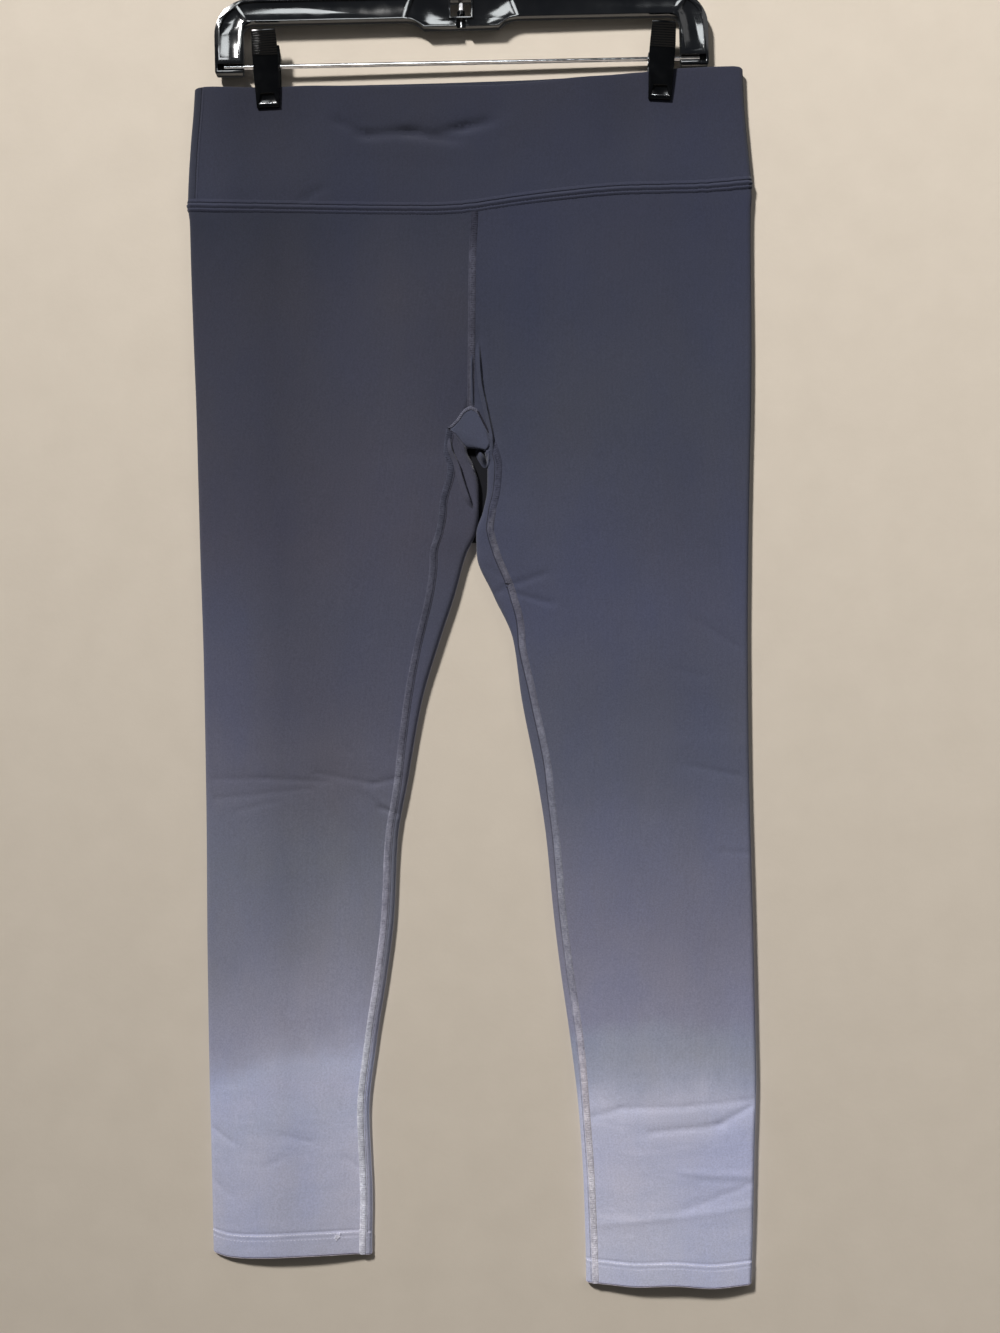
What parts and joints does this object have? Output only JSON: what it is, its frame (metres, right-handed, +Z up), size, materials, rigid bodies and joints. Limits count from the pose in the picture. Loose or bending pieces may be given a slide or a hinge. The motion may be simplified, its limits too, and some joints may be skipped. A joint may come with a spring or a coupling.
{
  "type": "leggings on a clip hanger",
  "caption": "High-rise knit leggings with a folded waistband, one-piece legs and a crotch gusset, hung from a hanger by its clips.",
  "frame": {"origin": "the point under the top of the hanger's hook where the rail or wall hook carries it", "axes": "+X to the viewer's right, the garment's front faces -Y, +Z up along the hanging garment"},
  "size_m": [0.4076, 0.0221, 1.0392],
  "materials": {
    "dark_knit": "matte slate cotton and elastane jersey",
    "dipped_knit": "the same jersey, dip dyed from slate to pale lavender grey",
    "black_plastic": "glossy black moulded plastic",
    "steel": "bright plated steel wire"
  },
  "bodies": {
    "root": {"waistband_front": "dark_knit", "waistband_back": "dark_knit", "leg_left": "dipped_knit", "leg_right": "dipped_knit", "gusset": "dark_knit", "hanger_body": "black_plastic", "hanger_hook": "steel", "hanger_bar": "steel", "clip_left_front": "black_plastic", "clip_left_back": "black_plastic", "clip_left_spring": "steel", "clip_right_front": "black_plastic", "clip_right_back": "black_plastic", "clip_right_spring": "steel"}
  },
  "joints": []
}
